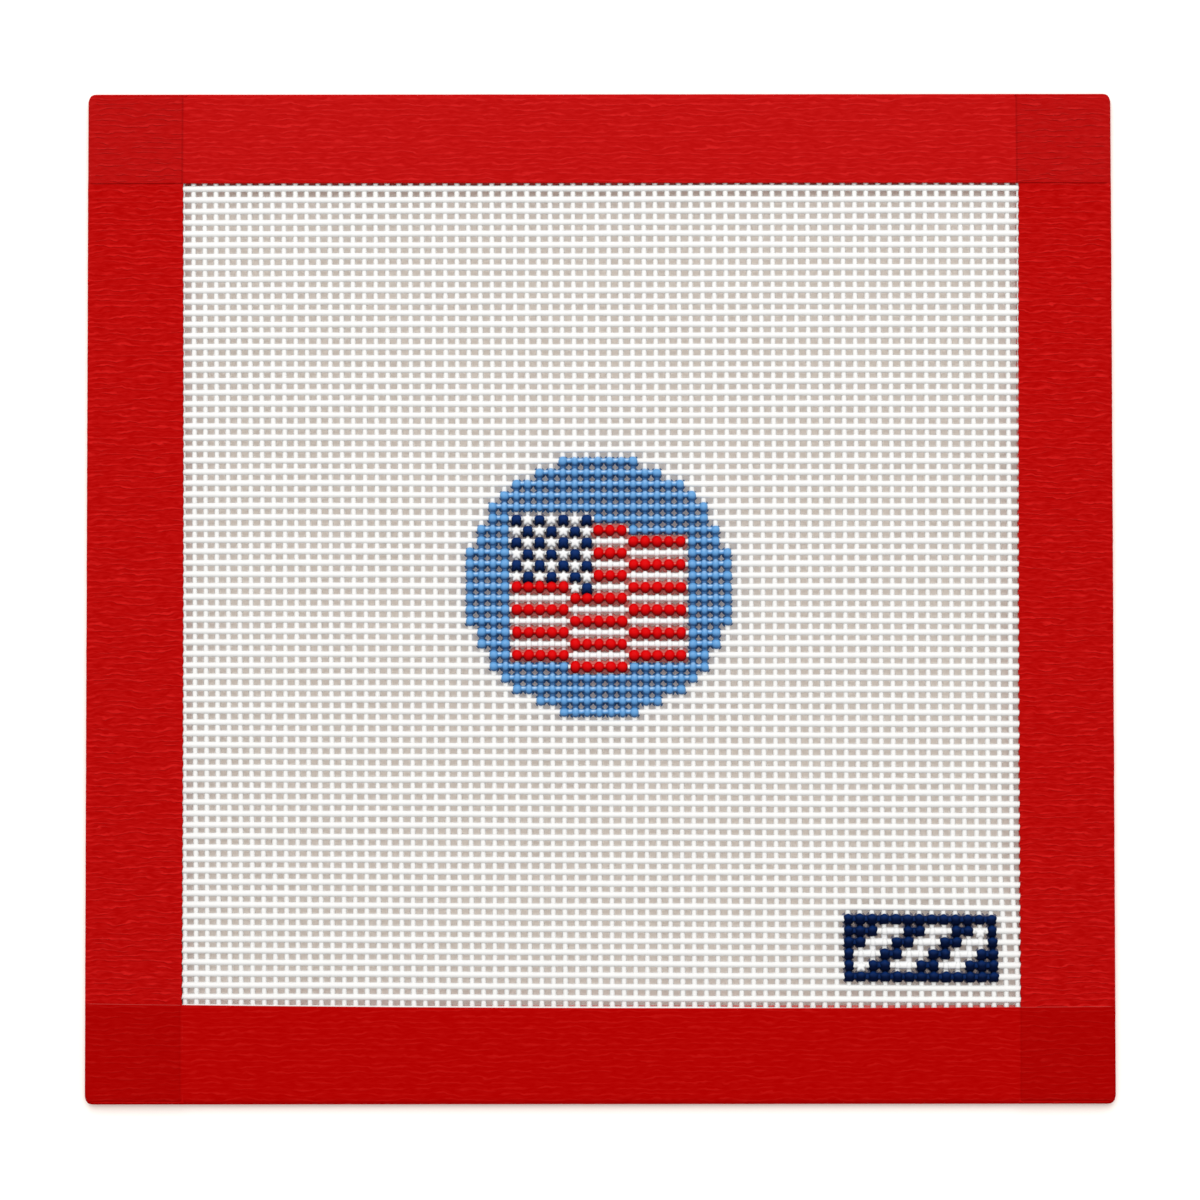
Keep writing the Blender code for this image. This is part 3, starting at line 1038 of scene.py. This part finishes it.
def crepe_paper(name, dark, light, depth, corner_depth, corner_dim, seam_shadow, gloss):
    """Red crepe paper. Its wrinkles are depth millimetres deep, and corner_depth at the corners.

    corner_dim says how much darker the corners are. The next argument says how dark the thin painted
    shadow line beside them is, where the covering strip steps up. dark and light are the red between
    the wrinkles and on their crests, which are painted lighter, as highlights.
    """
    material, where = start_material(name, Specular_IOR_Level=gloss)
    x, y = where.axes()[:2]
    corner = x.size().step(SEAM - 0.15, SEAM + 0.15)
    # A thin painted shadow where the covering strip steps up over the edge of the one beneath.
    seam = 1 - (x.size() - SEAM).size().step(0.04, 0.16)
    flat = 1 - x.size().step(FACE_ENDS, FOLD_STARTS)
    bend = where.place(x * 0.24, y * 0.50, 7.0).grain(1.0, detail=3.0, roughness=0.6) * 1.7
    strength = where.place(x * 0.40, y * 1.6, 0.0).grain(1.0, detail=1.0).step(0.33, 0.62)
    ridges = (y + bend).wave(CREPE_SPACING).step(0.55, 1.0) * strength
    fine = where.place(x * 0.75, (y + bend) * 4.6, 3.0).grain(1.0, detail=1.0, roughness=0.5)
    height = ridges * 0.60 + fine * 0.40
    depths = (corner * (corner_depth - depth) + depth) * flat
    # The crests and fine wrinkles are painted lighter, as highlights of the light from the top.
    crest_highlight = ridges * 0.70 + fine.step(0.35, 0.68) * 0.30
    dim_and_shadow = corner * corner_dim + seam * seam_shadow
    layers = {"Factor": dim_and_shadow, 6: crest_highlight.tint(dark, light), 7: TWO_LAYERS_AND_SHADOW}
    face = where.node("ShaderNodeMix", layers, out=2, data_type="RGBA")
    # This mark also carries the highlight painted on the bottom strip's cut edge.
    inside = where.node("ShaderNodeAttribute", out=2, attribute_name="inside")
    sides = {"Factor": inside, 6: face, 7: GUMMED_RED}
    colour = where.node("ShaderNodeMix", sides, out=2, data_type="RGBA")
    normal = bump(height * depths, MILLIMETRE)
    return feed(material, Base_Color=colour, Roughness=0.7 + 0.2 * fine, Normal=normal)


side_red = crepe_paper(
    "tape_side_red",
    (0.365, 0.0006, 0.0004, 1.0),
    (0.530, 0.0090, 0.0082, 1.0),
    depth=0.11,
    corner_depth=0.11,
    corner_dim=0.0,
    seam_shadow=0.0,
    gloss=0.02,
)
# The top strip's red is painted a little lighter than the sides', as light that falls from the top.
top_red = crepe_paper(
    "tape_top_red",
    (0.392, 0.0020, 0.0018, 1.0),
    (0.520, 0.0105, 0.0100, 1.0),
    depth=0.065,
    corner_depth=0.16,
    corner_dim=0.09,
    seam_shadow=0.22,
    gloss=0.03,
)
# The bottom strip's red is painted darker on its crests than the sides', as the strip that gets
# least light.
bottom_red = crepe_paper(
    "tape_bottom_red",
    (0.370, 0.0006, 0.0004, 1.0),
    (0.440, 0.0050, 0.0042, 1.0),
    depth=0.03,
    corner_depth=0.055,
    corner_dim=0.17,
    seam_shadow=0.08,
    gloss=0.0,
)

# %% The four strips
SHARP_ANGLE = math.radians(50)  # at a cut edge
# How each strip is made, its side, how high its larger wrinkles are in millimetres, and its paper
STRIPS = {
    "left": (side_strip, -1, 0.022, side_red),
    "right": (side_strip, 1, 0.022, side_red),
    "top": (long_strip, 1, 0.014, top_red),
    "bottom": (long_strip, -1, 0.007, bottom_red),
}
tapes = {}
for strip, (make, side, crepe, paper) in STRIPS.items():
    node = "tape_" + strip
    tapes[node] = make(strip, side, crepe * MILLIMETRE).build(node + "_paper", paper, "inside")
    tapes[node].data.set_sharp_from_angle(angle=SHARP_ANGLE)

# %% [markdown]
# ## What each piece stands for
# Every piece rides with the panel and takes the place of its plain solid.

# %% Pieces on the panel
CANVAS_CUT = (PANEL_WIDTH - 2 * CUT_INSET, PANEL_HEIGHT - 2 * CUT_INSET)
for piece, (first, last) in zip(canvas_pieces, BANDS.values()):
    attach(piece, "root")
    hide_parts("canvas")
    share = (last - first + 1) / (UNDER_BOTTOM - UNDER_TOP + 1)
    CANVAS_CUT[1] * share
for piece in paint_pieces:
    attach(piece, "root")
    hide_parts("canvas")
for node, piece in tapes.items():
    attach(piece, "root")
    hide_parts(node)
    long_side = PANEL_HEIGHT if node in ("tape_left", "tape_right") else PANEL_WIDTH
